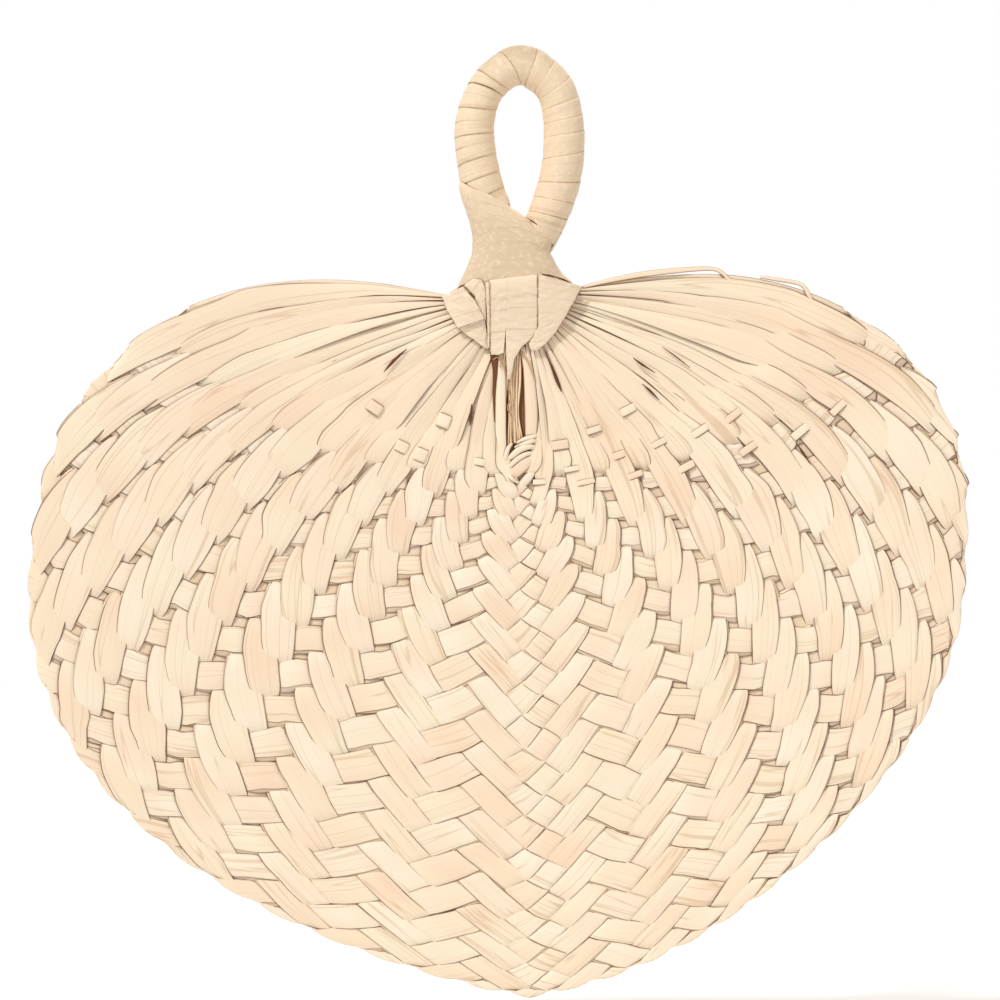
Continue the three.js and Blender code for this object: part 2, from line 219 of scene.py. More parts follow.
def fan_point(across, p):
    """Place (x, z) on the upper part of a strip: a Bezier curve from its foot to its join. Above the plait
    p runs evenly along the curve, and in the plait it keeps the distances of the crossings."""
    share = (across / RIM_STEPS)[..., None]
    foot = FOOT_LOW + share * (FOOT_HIGH - FOOT_LOW)
    angle = LEAVE_LOW + share * (LEAVE_HIGH - LEAVE_LOW)
    end = plait_point(across, join(across))
    reach = np.linalg.norm(end - foot, axis=-1, keepdims=True)
    ahead = plait_point(across, join(across) + LOOK_AHEAD) - end
    sweep = reach * (SWEEP_LOW + share * (SWEEP_HIGH - SWEEP_LOW))
    arrive = ahead / np.linalg.norm(ahead, axis=-1, keepdims=True) * sweep
    leave = np.concatenate([np.cos(angle), np.sin(angle)], axis=-1) * reach / 3
    to_go = np.linalg.norm(plait_point(across, np.clip(p, 0, join(across))) - end, axis=-1)
    along = (1 - to_go / (3 * sweep[..., 0])) * np.clip(1 + p, 0, 1)
    return bezier([foot, foot + leave, end - arrive, end], along)


# The blade isn't even, as hand work isn't: the outermost leaves hang a little lower, by mm at places along
# them, the sides lie to the left, because the left half is the wider one, and the tip hangs to the right.
LEFT_SAG = [(-1, 3.0), (-0.5, 2.0), (0, 1.4), (2, 0)]
RIGHT_SAG = [(-1, 0), (-0.4, 0.4), (0, 1.8), (0.6, 1.5), (2, 0)]
LEFT_LEAN = 5.7
LEFT_LEAN_FROM = -40.0
LEFT_LEAN_FULL = -140.0
SKEW = 0.135
TIP_LEAN = 3.0
RIM_MARGIN = 0.05


def lean(point):
    """Moves places sideways: to the left by the square of their distance from the middle, to the right in
    step with their depth below the eye, and low down to the left again by a skew that grows with that
    distance and fades out at the tip."""
    x, z = point[..., 0], point[..., 1]
    side = (x / SIDE[0]) ** 2
    depth = np.maximum(0, (EYE[1] - z) / (EYE[1] - TIP[1]))
    drop = np.clip((LEFT_LEAN_FROM - z) / (LEFT_LEAN_FROM - LEFT_LEAN_FULL), 0, 1)
    skew = SKEW * np.abs(x) * depth ** 2 * (1 - depth ** 8)
    return np.stack([x + TIP_LEAN * depth * (1 - side) - LEFT_LEAN * side * drop - skew, z], axis=-1)


def route(own, p, is_left):
    """Place of a leg of a strip: p runs from -1 at its foot to 0 at the top of the plait and on to the rim.
    It sags by the fourth power of its number, so that only the outermost strips hang lower."""
    own = np.clip(own, RIM_MARGIN, RIM_STEPS - RIM_MARGIN)
    own, p = np.broadcast_arrays(own, p)
    free = fan_point(own, p)
    woven = plait_point(own, np.maximum(p, 0))
    point = np.where((p < join(own))[..., None], free, woven)
    if is_left:
        point = point * [-1, 1]
    sag = np.interp(p, *np.transpose(LEFT_SAG if is_left else RIGHT_SAG)) * (own / RIM_STEPS) ** 4
    return lean(point - np.stack([0 * sag, sag], axis=-1))


# The plait is a herringbone: a strip floats over two and under two, and the order turns round at the
# middle. Towards the rim the leaves that run down lie longer in front, and those that run across longer
# behind. The lift is in mm, and the other lengths are in steps.
FLOAT = 2
LIFT = 0.42
RAMP = 0.2
LONG_FLOAT = 0.16
LOOSE_TURN = (0.15, 0.5)
MIDDLE = (-0.7, 0.7)
TURN_AT_RIM = 0.6
FOLD_OVERRUN = 0.05


def is_over(own, other, is_left):
    """Whether a leg lies in front at a crossing, from the difference of its two numbers."""
    column = other - own if is_left else own - other
    phase = column % (2 * FLOAT)
    left_over = np.where(column > 0, phase < FLOAT, phase >= FLOAT)
    return left_over if is_left else ~left_over


def weave(own, p, is_left):
    """How a leg goes in and out: its level at p, from -1 in front to 1 behind, by half sines midway between
    crossings, the places where it changes sides, and its side at the top and at each crossing."""
    crossings = RIM_STEPS - own
    over = is_over(own, np.arange(1, crossings + 1), is_left)
    # A leaf that starts behind doesn't come to the front for its first crossing alone
    over[0] &= own % 2 == 0 or crossings == 1 or over[1]
    front = np.where(np.concatenate([[own % 2 == 0], over]), -1.0, 1.0)
    ends = np.arange(crossings) + 0.5
    outer = smooth(np.abs(ends - own) / (ends + own), *LOOSE_TURN) * (1 - 2 * smooth(ends - own, *MIDDLE))
    ends = ends + LONG_FLOAT * outer * (front[1:] - front[:-1]) / 2
    at = np.stack([ends - RAMP, ends + RAMP], axis=-1).ravel()
    levels = np.stack([front[:-1], front[1:]], axis=-1).ravel()
    level = np.sin(math.pi / 2 * np.interp(p, at, levels))
    dives = ends[front[:-1] != front[1:]]
    return level, np.concatenate([[-1.0], dives, [crossings + FOLD_OVERRUN + TURN_AT_RIM]]), front


# Leaf strips. Each is one split leaf of a raffia palm, folded lengthwise in two plies, plaited green and
# dried. It runs from the left of the collar to the rim, is folded back there, and ends right of the collar.
LEAF_THICKNESS = 0.2
INNER_THICKNESS = 0.12
ROWS_PER_STEP = 10
FREE_ROWS = 60
EDGE_TO_EDGE = np.sin(np.linspace(-math.pi / 2, math.pi / 2, 9))
INNER_EDGE_TO_EDGE = np.linspace(-1, 1, 4)
# Widths as shares of the step between strips: where a leaf runs down and where it runs across, what it
# gains or loses where it lies loose, near the top and at the upper rim, and how it swells between dives
DOWN_WIDTH = 1.06
ACROSS_WIDTH = 1.02
ACROSS_SWELL = 0.04
LOOSE_SWELL = 0.75
LOOSE_PINCH = 0.1
LOOSE_ACROSS_LOSS = 0.26
TOP_ROWS = (3, 9)
TOP_TURN = (0.0, 0.25)
TOP_ACROSS_LOSS = 0.16
WIDE_TURN = (0.5, 0.9)
WIDE_ROWS = (4, 13)
WIDE_GAIN = 0.3
WIDE_SWELL = 0.8
SWELL_POWER = 0.6
# Heights in mm of the arch over a float, of its section's camber, crease and tilt, and how flat it is
# pressed where it lies loose
ARCH = 0.1
ACROSS_ARCH = 0.05
LOOSE_ARCH = 0.5
LOOSE_ARCH_FULL = 0.8
CAMBER = 0.1
CREASE = 0.14
CREASE_WANDER = 0.5
TILT = 0.1
TILT_WAVE = 0.05
LOOSE_TILT = 0.12
PRESSED_FLAT = 0.7
# How far a leaf and its edges stray, in steps, and how its colour changes from float to float and along it
DRIFT = 0.05
EDGE_WAVER = 0.05
LOOSE_WAVER = 0.07
FLOAT_TONE = 0.3
TONE_WAVE = 0.5
# The free end of a leaf: widths in steps at places along it, with what they gain by each strip outwards
FREE_BLEND = 0.2
FREE_AT = [-1, -0.85, -0.5, -0.15, 0]
FREE_WIDTHS = np.array([1.2, 1.7, 2.5, 2.5, 1.6])
FREE_GAINS = np.array([0, 0, 0, 0.02, 0.03])
FREE_STRETCH = (0.75, 1.25)
FREE_ARCH = 0.45
FREE_LEVEL = 0.8
FREE_TWIST = 0.6
FREE_DRIFT = 0.35
FREE_TILT = 0.5
# The inner ply lies flat inside the outer one, and shows as a fine line along its edge
INNER_FREE_WIDTH = 0.8
INNER_FREE_LEVEL = 0.5
INNER_LIFT = 0.38
INNER_CAMBER = 0.05
INNER_SHIFT = 0.06
INNER_MARGIN = 0.04
# The fold at the rim: pressed flat, and bent round in a scallop. Lengths in steps, and the bulge in mm
FOLD_PRESSED = 1.2
FOLD_TURNED = 0.9
FOLD_WIDTH = 0.98
FOLD_ROWS = 5
FOLD_BULGE = 0.3
INNER_BULGE = 0.6
ROWS_TO_FOLD = 8
SCALLOP = 0.42


def wave(x, rng, length):
    """A slow random wave between about -1 and 1: three sines, the longest 2.9 times the shortest, with
    random phases."""
    phases = rng.uniform(0, 2 * math.pi, 3)
    return sum(np.sin(2 * math.pi * x / (length * k) + a) for k, a in zip((1, 1.7, 2.9), phases)) / 2


def kinks(p, rng, step):
    """Random broken line between -1 and 1, with its corners about one step apart, as a creased leaf has."""
    corners = np.arange(p.min() - 2 * step, p.max() + 2 * step, step)
    corners = corners + rng.uniform(-0.3, 0.3, len(corners)) * step
    return np.interp(p, corners, rng.uniform(-1, 1, len(corners)))


def looseness(own, p):
    """Shares from 0 to 1 of how far a leaf runs across, lies loose, is near the plait's top, and is widened
    at the upper rim: smooth steps of its turn from the middle and its distance from the top."""
    woven_p = np.maximum(p, 0)
    turn = np.abs(woven_p - own) / (woven_p + own)
    row = np.minimum(woven_p, own)
    is_across = smooth(woven_p - own, *MIDDLE)
    near_top = 1 - smooth(row, *TOP_ROWS)
    loose = np.maximum(smooth(turn, *LOOSE_TURN), near_top * smooth(turn, *TOP_TURN))
    wide = smooth(turn, *WIDE_TURN) * (1 - smooth(row, *WIDE_ROWS))
    return is_across, loose, near_top, wide


def leg(own, is_left, rng, inner):
    """One leg of a strip from its foot to its fold: a grid of places (x, z) with their depths, a tone for
    each row and the side of its last crossing. The leaf is widest in the middle of a float and pinched
    where it dives. Its depth is its level times its lift, arch, camber and crease, less its tilt."""
    crossings = RIM_STEPS - own
    last = crossings + FOLD_OVERRUN
    woven = np.linspace(0, last, int(ROWS_PER_STEP * crossings) + 2)
    p = np.concatenate([np.linspace(-1, 0, FREE_ROWS, endpoint=False), woven])
    level, dives, front = weave(own, p, is_left)
    float_number = np.clip(np.searchsorted(dives, p, side="right") - 1, 0, len(dives) - 2)
    start, stop = dives[float_number], dives[float_number + 1]
    bump = np.sin(math.pi * np.clip((p - start) / (stop - start), 0, 1)) ** SWELL_POWER
    is_across, loose, near_top, wide = looseness(own, p)
    down = DOWN_WIDTH + loose * (LOOSE_SWELL * bump - LOOSE_PINCH) + wide * (WIDE_GAIN + WIDE_SWELL * bump)
    across = ACROSS_WIDTH - LOOSE_ACROSS_LOSS * loose - TOP_ACROSS_LOSS * near_top + ACROSS_SWELL * bump
    width = down + is_across * (across - down)
    arch = loose * LOOSE_ARCH * smooth(bump, 0, LOOSE_ARCH_FULL) * (1 - is_across)
    arch = arch + ARCH * bump + ACROSS_ARCH * is_across * bump
    stretch = rng.uniform(*FREE_STRETCH) if not inner else 1.0
    free_width = stretch * np.interp(p, FREE_AT, FREE_WIDTHS + FREE_GAINS * own)
    free_arch = FREE_ARCH * np.sin(math.pi * np.clip(1 + p, 0, 1))
    free_level = front[0] * FREE_LEVEL + FREE_TWIST * kinks(p, rng, step=0.35)
    if inner:
        narrowed = np.minimum(width + INNER_MARGIN, DOWN_WIDTH)
        width = np.maximum(width, DOWN_WIDTH) * (1 - is_across) + is_across * narrowed
        free_width = free_width * INNER_FREE_WIDTH
        free_level = INNER_FREE_LEVEL + 0 * p
        arch = 0 * arch
        free_arch = 0 * free_arch
    free = smooth(-p, 0.0, FREE_BLEND)
    fold = smooth(p, last - FOLD_PRESSED, last)
    width = (width + free * (free_width - width)) * (1 - fold) + FOLD_WIDTH * fold
    arch = (arch + free * (free_arch - arch)) * (1 - fold)
    level = level + free * (free_level - level)
    drift = DRIFT * wave(p, rng, length=3.1) + free * FREE_DRIFT * kinks(p, rng, step=0.3)
    drift = drift * (1 - fold) * smooth(p, -1, -0.8)
    side = INNER_EDGE_TO_EDGE if inner else EDGE_TO_EDGE
    side = side if is_left else -side
    waver = (EDGE_WAVER + LOOSE_WAVER * loose) * (1 - fold)
    inward = 1 + (waver * kinks(p, rng, step=0.6))[:, None]
    outward = 1 + (waver * kinks(p, rng, step=0.6))[:, None]
    own_at = own + drift[:, None] + width[:, None] / 2 * side * np.where(side < 0, inward, outward)
    if inner:
        own_at = own_at + INNER_SHIFT * (1 - fold)[:, None]
    turned = np.clip((p - (crossings - FOLD_TURNED)) / (last - crossings + FOLD_TURNED), 0, 1)
    p_at = p[:, None] - turned[:, None] * (own_at - own) - (turned ** 4)[:, None] * SCALLOP * side ** 2
    place = route(own_at, p_at, is_left)
    lift = (INNER_LIFT if inner else 1.0) * LIFT
    flat = (1 - PRESSED_FLAT * loose * (1 - is_across) * (1 - free))[:, None]
    camber = (INNER_CAMBER if inner else CAMBER) * flat * side ** 2
    crease = CREASE * flat * np.abs(side - CREASE_WANDER * kinks(p, rng, step=1.1)[:, None])
    crease = crease * (1 - fold)[:, None] * (0 if inner else 1)
    tilt = TILT + TILT_WAVE * wave(p, rng, length=4.0) + LOOSE_TILT * loose * (1 - is_across) * bump
    tilt = tilt + free * (FREE_TILT * kinks(p, rng, step=0.4) - tilt)
    depth = level[:, None] * (lift + arch[:, None] - camber - crease) - (tilt * (1 - fold))[:, None] * side
    tone = rng.uniform(-1, 1, len(dives))[float_number] * FLOAT_TONE + TONE_WAVE * wave(p, rng, length=2.5)
    return place, depth, tone, front[-1]


def ply(k, rng, inner):
    """Both legs of strip k, joined by a half roll over the rim, as a surface with its normals. The roll
    goes out by a sine and from front to back by a cosine."""
    left, left_depth, left_tone, end_level = leg(k, True, rng, inner)
    right, right_depth, right_tone, _ = leg(RIM_STEPS - k, False, rng, inner)
    right, right_depth, right_tone = right[::-1], right_depth[::-1], right_tone[::-1]
    rim = (left[-1] + right[0]) / 2
    out = rim - (left[-ROWS_TO_FOLD] + right[ROWS_TO_FOLD - 1]) / 2
    out /= np.linalg.norm(out, axis=-1, keepdims=True)
    angle = np.linspace(0, math.pi, FOLD_ROWS + 2)[1:-1, None]
    bulge = FOLD_BULGE * (INNER_BULGE if inner else 1.0)
    roll = rim + out * (bulge * np.sin(angle))[..., None]
    middle = (left_depth[-1] + right_depth[0]) / 2
    roll_depth = middle + (left_depth[-1] - middle) * np.cos(angle)
    place = np.concatenate([left, roll, right])
    depth = np.concatenate([left_depth, roll_depth, right_depth])
    tone = np.concatenate([left_tone, np.full(FOLD_ROWS, left_tone[-1]), right_tone])
    facing = np.concatenate([np.zeros(len(left)), angle[:, 0], np.full(len(right), math.pi)])[:, None]
    outward = np.zeros_like(place)
    outward[len(left):len(left) + FOLD_ROWS] = out * (-end_level * np.sin(angle))[..., None]
    normal = np.stack([outward[..., 0], -np.cos(facing) + 0 * depth, outward[..., 1]], axis=-1)
    surface = np.stack([place[..., 0], depth, place[..., 1]], axis=-1)
    return surface, normal, tone


def finish_piece(name, points, faces, uv, values, material):
    """A mesh object in metres from points in mm, with its faces outwards, a UV map in mm and a tone, a
    closeness to the leaf's edge and a share of inner layer or of painted shade at each point."""
    mesh = bpy.data.meshes.new(name)
    mesh.from_pydata((points * MM).tolist(), [], faces)
    mesh.calc_loop_triangles()
    corners = np.zeros(len(mesh.loop_triangles) * 3, dtype=np.int32)
    mesh.loop_triangles.foreach_get("vertices", corners)
    a, b, c = points[corners.reshape(-1, 3)].transpose(1, 0, 2)
    if np.einsum("ij,ij->i", a, np.cross(b, c)).sum() < 0:
        mesh.flip_normals()
    loops = np.zeros(len(mesh.loops), dtype=np.int32)
    mesh.loops.foreach_get("vertex_index", loops)
    layer = mesh.uv_layers.new(name="lengthwise")
    layer.data.foreach_set("uv", uv[loops].astype(np.float32).ravel())
    for label, value in zip(("tone", "edge", "inner"), values):
        attribute = mesh.attributes.new(label, "FLOAT", "POINT")
        attribute.data.foreach_set("value", value.astype(np.float32))
    mesh.materials.append(material)
    mesh.shade_smooth()
    piece = bpy.data.objects.new(name, mesh)
    bpy.context.collection.objects.link(piece)
    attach(piece, "root")
    return piece


def ring_faces(rows, columns, first):
    """Four-sided faces between closed rings of points, and the two end faces, as numbers of points."""
    here = first + np.arange(rows * columns).reshape(rows, columns)
    beside = np.roll(here, -1, axis=1)
    quads = np.stack([here[:-1], beside[:-1], beside[1:], here[1:]], axis=-1).reshape(-1, 4)
    return quads.tolist() + [here[0, ::-1].tolist(), here[-1].tolist()]


EDGE_REACH = 2.4
EDGE_THINNING = 0.7
PATTERN_SHIFT = 7


def leaf_piece(name, sheets, material, turned=False):
    """A mesh object of thin closed sheets. Each sheet is a grid of points in mm (rows along the leaf) with
    normals, a thickness, the places of its columns from -1 to 1, a tone for each row, and how far it is an
    inner layer or painted in shade, as one share or one for each row. Its two faces lie half the thickness
    to each side and meet in edges thinned by a fourth power. The fibres run from row to row, or across the
    rows where the piece is turned. By its name each piece lies on a stretch of the pattern of its own."""
    points, faces, uvs, tones, edges, inners = [], [], [], [], [], []
    count = 0
    for surface, normal, thickness, across, tone, inner in sheets:
        offset = normal * (thickness / 2 * (1 - EDGE_THINNING * across ** 4))[:, None]
        ring = np.concatenate([surface + offset, (surface - offset)[:, ::-1]], axis=1)
        rows, columns = ring.shape[:2]
        faces += ring_faces(rows, columns, count)
        steps = np.linalg.norm(np.diff(surface.mean(axis=1), axis=0), axis=-1)
        length = np.concatenate([[0], np.cumsum(steps)])
        half_width = np.linalg.norm(np.diff(surface, axis=1), axis=-1).sum(axis=1).mean() / 2
        around = np.concatenate([across, across[::-1]])
        u = around * half_width + PATTERN_SHIFT * sum(map(ord, name))
        points.append(ring.reshape(-1, 3))
        uv = np.stack(np.broadcast_arrays(u, length[:, None]), axis=-1).reshape(-1, 2)
        uvs.append(uv[:, ::-1] if turned else uv)
        tones.append(np.repeat(tone, columns))
        edges.append(np.tile(1 - (1 - np.abs(around)) * half_width / EDGE_REACH, rows))
        inners.append(np.repeat(np.broadcast_to(inner, rows), columns))
        count += rows * columns
    values = [np.concatenate(v) for v in (tones, edges, inners)]
    return finish_piece(name, np.concatenate(points), faces, np.concatenate(uvs), values, material)


# The leaf's pattern: spacing across and length along it in mm, then the noise's detail and roughness. The
# real veins are about 0.2 mm apart, too fine to show, and are drawn coarser. The hollows' depth is how far,
# in mm, the painted shade in them reaches.
VEINS = (0.45, 34.0, 3.0, 0.6)
STREAKS = (1.8, 130.0, 2.0, 0.5)
CREASES = (3.2, 110.0, 1.0, 0.5)
VEIN_HEIGHT = 0.15
VEIN_RELIEF = 0.3
HOLLOW_DEPTH = 1.9
SATIN = 0.35
# Where each colour comes in: the low and high end of its value, and its share at each end. The crease lines
# and the brown of the hollows are painted shade. The line along a leaf's edge is a darker edge that is
# partly painted shade of the gap beside it, and it has the patchy share.
BLUSHING = (-0.9, 0.9, 0.0, 1.0)
STREAKY = (0.35, 0.8, 0.0, 0.14)
VEINY = (0.5, 0.78, 0.0, 0.14)
CREASED = (0.004, 0.022, 0.34, 0.0)
HOLLOW_SHADING = (0.2, 0.72, 0.85, 0.0)
PATCHY = (0.35, 0.6, 0.4, 1.0)
EDGE_LINE = (0.88, 0.97)


def dried_leaf(name, pale, deep, blush, crease, shade, line, roughness, hollow="96603A"):
    """Dried raffia palm leaf: straw with fine lengthwise veins, thin crease lines of painted shade, and
    darker edges that are partly painted shade of the gaps beside them. Some floats are pinker, inner layers
    and places painted in shade take the shade colour, and the hollows between leaves get a browner painted
    shade. Each colour is mixed in by a noise, an attribute or the openness of the place, brought to a share
    by a Map Range."""
    material = bpy.data.materials.new(name)
    material.use_nodes = True
    tree = material.node_tree
    shader = tree.nodes["Principled BSDF"]
    uv = add_node(tree, "ShaderNodeUVMap", {"uv_map": "lengthwise"}, {})
    noises = []
    for spacing, length, detail, grain in (VEINS, STREAKS, CREASES):
        stretch = add_node(tree, "ShaderNodeVectorMath", {"operation": "MULTIPLY"},
                           {0: uv.outputs[0], 1: (1 / spacing, 1 / length, 1)})
        noise = add_node(tree, "ShaderNodeTexNoise", {"noise_dimensions": "2D"},
                         {"Vector": stretch.outputs[0], "Scale": 1.0, "Detail": detail, "Roughness": grain})
        noises.append(noise.outputs["Fac"])
    veins, streaks, creases = noises
    tone, edge, inner = (add_node(tree, "ShaderNodeAttribute", {"attribute_name": label}, {}).outputs["Fac"]
                         for label in ("tone", "edge", "inner"))
    # Ambient occlusion gives how open the place is, and the hollows get a browner painted shade from it
    openness = add_node(tree, "ShaderNodeAmbientOcclusion", {"samples": 8}, {"Distance": HOLLOW_DEPTH * MM})
    # A crease line of painted shade runs where its noise crosses the middle value
    level = add_node(tree, "ShaderNodeMath", {"operation": "SUBTRACT"}, {0: creases, 1: 0.5})
    near = add_node(tree, "ShaderNodeMath", {"operation": "ABSOLUTE"}, {0: level.outputs[0]})
    shares = []
    for value, (low, high, at_low, at_high) in (
            (tone, BLUSHING), (streaks, STREAKY), (veins, VEINY), (near.outputs[0], CREASED),
            (openness.outputs["AO"], HOLLOW_SHADING), (streaks, PATCHY)):
        share = add_node(tree, "ShaderNodeMapRange", {}, {"Value": value, "From Min": low, "From Max": high,
                                                          "To Min": at_low, "To Max": at_high})
        shares.append(share.outputs[0])
    blushing, streaky, veiny, creased, shade_in_hollows, patchy = shares
    low, high = EDGE_LINE
    edged = add_node(tree, "ShaderNodeMapRange", {},
                     {"Value": edge, "From Min": low, "From Max": high, "To Max": patchy}).outputs[0]
    # Painted shade is mixed in here: the crease lines, the edge lines in part, and the brown of the hollows
    colour = linear(pale)
    for share, other in ((blushing, blush), (streaky, deep), (veiny, deep), (creased, crease),
                         (inner, shade), (edged, line), (shade_in_hollows, hollow)):
        colour = add_node(tree, "ShaderNodeMix", {"data_type": "RGBA"},
                          {0: share, 6: colour, 7: linear(other)}).outputs[2]
    tree.links.new(colour, shader.inputs["Base Color"])
    bump = add_node(tree, "ShaderNodeBump", {},
                    {"Strength": VEIN_RELIEF, "Distance": VEIN_HEIGHT * MM, "Height": veins})
    tree.links.new(bump.outputs[0], shader.inputs["Normal"])
    shader.inputs["Roughness"].default_value = roughness
    shader.inputs["Specular IOR Level"].default_value = SATIN
    return material


# Two shades of leaf lie side by side in the plait. Both look smooth and satin, with brown lines at their
# edges that are partly painted shade, and a painted brown shade in the hollows, and the straw one is a
# little yellower and deeper.
pale_leaf = dried_leaf("dried raffia leaf, pale", pale="FDF1DA", deep="E6CAA4", blush="FAE2C9",
                       crease="C49A6E", shade="F4DEC2", line="784E2C", roughness=0.5)
straw_leaf = dried_leaf("dried raffia leaf, straw", pale="FBEED4", deep="E0C69B", blush="F8DDC2",
                        crease="BE9466", shade="F2D9B9", line="72482A", roughness=0.5)

FIRST_STRIP_SEED = 100
for k in range(1, RIM_STEPS):
    rng = np.random.default_rng(FIRST_STRIP_SEED + k)
    sheets = []
    for inner, across, thickness in ((0.0, EDGE_TO_EDGE, LEAF_THICKNESS),
                                     (1.0, INNER_EDGE_TO_EDGE, INNER_THICKNESS)):
        surface, normal, tone = ply(k, rng, inner > 0)
        sheets.append((surface, normal, thickness, across, tone, inner))
    material, slot = (pale_leaf, "pale_leaf") if k % 2 else (straw_leaf, "straw_leaf")
    strip = leaf_piece(f"leaf_{k:02d}", sheets, material)
    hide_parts(f"leaf_strip_{k:02d}")

# Loose wefts: above the plait the strips that run across are hidden under the leaves, and come out over a
# leaf only here and there, as short flat bars. Rows are x, y, length and width in photo pixels. The bars
# lie across the leaves, which spread out from the collar, and tuck in at both ends, at depths in mm.
LOOSE_WEFTS = [
    (628, 410, 15, 9), (594, 430, 14, 7), (560, 445, 16, 10), (700, 431, 17, 8), (659, 443, 15, 7),
    (733, 416, 18, 8), (800, 432, 18, 9), (838, 408, 17, 8), (619, 455, 12, 8), (572, 469, 15, 6),
    (686, 467, 17, 8), (748, 449, 18, 8), (540, 482, 13, 6), (586, 482, 17, 6), (635, 475, 15, 7),
    (444, 421, 12, 14), (421, 455, 12, 14), (375, 408, 14, 12), (480, 462, 10, 8), (402, 447, 12, 12),
]
SPREAD_FROM = (525, 310)
SPREAD_TILT = 0.6
WEFT_FRONT = -1.25
WEFT_TUCKED = -0.2
WEFT_THICKNESS = 0.3
WEFT_TONE = 0.7
WEFT_ENDS = [(-1, 0.9, WEFT_TUCKED), (-0.85, 1, WEFT_FRONT), (0.85, 1, WEFT_FRONT), (1, 0.9, WEFT_TUCKED)]


def surface_normal(surface):
    """Unit normals of a grid of points: cross product of its differences along the two directions."""
    normal = np.cross(np.gradient(surface, axis=0), np.gradient(surface, axis=1))
    return normal / np.maximum(np.linalg.norm(normal, axis=-1, keepdims=True), 1e-9)


def spline(points, t):
    """Catmull-Rom curve through rows of values; t is 0 at the first row and 1 at the last."""
    points = np.asarray(points, dtype=float)
    padded = np.concatenate([2 * points[:1] - points[1:2], points, 2 * points[-1:] - points[-2:-1]])
    at = np.clip(t, 0, 1) * (len(points) - 1)
    n = np.minimum(at.astype(int), len(points) - 2)
    f = (at - n)[..., None]
    a, b, c, d = (padded[n + i] for i in range(4))
    return b + f / 2 * (c - a + f * (2 * a - 5 * b + 4 * c - d + f * (3 * (b - c) + d - a)))


def ribbon(line, thickness, tone=0.0, inner=0.0, curl=0.1, rows=60, columns=7):
    """A sheet along a line through rows of x and y in photo pixels, width in pixels and depth in mm. Its
    section is a low arch, curl mm high."""
    x, y, width, depth = spline(line, np.linspace(0, 1, rows)).T
    centre = np.stack(at_pixel(x, y), axis=-1)
    ahead = np.gradient(centre, axis=0)
    ahead /= np.linalg.norm(ahead, axis=-1, keepdims=True)
    beside = np.stack([-ahead[:, 1], ahead[:, 0]], axis=-1)
    across = np.linspace(-1, 1, columns)
    place = centre[:, None] + beside[:, None] * (width[:, None] * MM_PER_PIXEL / 2 * across)[..., None]
    height = depth[:, None] + curl * across ** 2
    surface = np.stack([place[..., 0], height, place[..., 1]], axis=-1)
    return surface, surface_normal(surface), thickness, across, np.full(rows, float(tone)), inner


wefts = []
for n, (x, y, length, width) in enumerate(LOOSE_WEFTS):
    tilt = SPREAD_TILT * math.atan2(x - SPREAD_FROM[0], y - SPREAD_FROM[1])
    line = [(x + s * length / 2 * math.cos(tilt), y - s * length / 2 * math.sin(tilt), width * share, depth)
            for s, share, depth in WEFT_ENDS]
    wefts.append(ribbon(line, WEFT_THICKNESS, tone=(n % 3 - 1) * WEFT_TONE, curl=0.08, rows=40))
leaf_piece("loose_wefts", wefts, straw_leaf)

# Two leaf ends have come loose along the top of the right half, and stand off it. Rows are x, y and width
# in photo pixels and the depth in mm, as in all the lists of leaves that follow.
LOOSE_ENDS = [
    [(583, 287, 3, -0.6), (615, 279.5, 5, -0.8), (650, 273.5, 6, -0.9), (690, 269.5, 5, -0.9),
     (712, 269, 4, -0.8), (722, 273, 4, -0.9), (730, 281, 4, -0.6), (737, 285, 3, -0.2)],
    [(760, 277, 3, -0.5), (780, 280, 4, -0.7), (797, 283, 4, -0.8), (804, 287, 4, -0.9),
     (808, 294, 5, -0.9), (812, 301, 4, -0.6)],
]
loose_ends = [ribbon(line, 0.25, tone=0.3, curl=0.15) for line in LOOSE_ENDS]
leaf_piece("loose_ends", loose_ends, straw_leaf)

# The middle of the fan is open down to the knot where the blade was begun. Brown sheath, the tough foot of
# a palm leaf, lies behind the opening, with two narrow leaves in front of it and two behind it. Its brown
# is in part painted shade of the deep opening.
SHEATH = [(517, 330, 30, 0.9), (517, 370, 34, 0.9), (518, 435, 34, 0.9), (520, 466, 26, 0.9)]
INNER_LEAVES = [
    [(500, 336, 8, -0.6), (501, 365, 10, -0.9), (500.5, 400, 12, -1.1), (501, 435, 11, -0.9),
     (504, 468, 7, -0.3)],
    [(522, 346, 6, -0.4), (528, 368, 10, -0.9), (531, 400, 13, -1.1), (531.5, 425, 13, -0.9),
     (530, 444, 9, -0.5)],
]
BACK_LEAVES = [
    [(508, 330, 16, 1.3), (508, 380, 18, 1.4), (510, 430, 16, 1.4), (514, 470, 10, 1.2)],
    [(525, 330, 16, 1.5), (525, 380, 18, 1.6), (524, 430, 15, 1.5), (519, 470, 9, 1.3)],
]
# The sheath is matt and much browner than the leaves, in part as painted shade, so that the opening looks
# deep
sheath = dried_leaf("dry brown leaf sheath", pale="A8734A", deep="86532F", blush="9C6440",
                    crease="6E4325", shade="86532F", line="6A4024", roughness=0.7)
leaf_piece("middle_sheath", [ribbon(SHEATH, 0.2)], sheath)
middle_leaves = [ribbon(line, 0.25, tone=n - 0.5, curl=0.3) for n, line in enumerate(INNER_LEAVES)]
middle_leaves += [ribbon(line, 0.25, tone=n - 0.5, curl=-0.1) for n, line in enumerate(BACK_LEAVES)]
leaf_piece("middle_leaves", middle_leaves, straw_leaf)
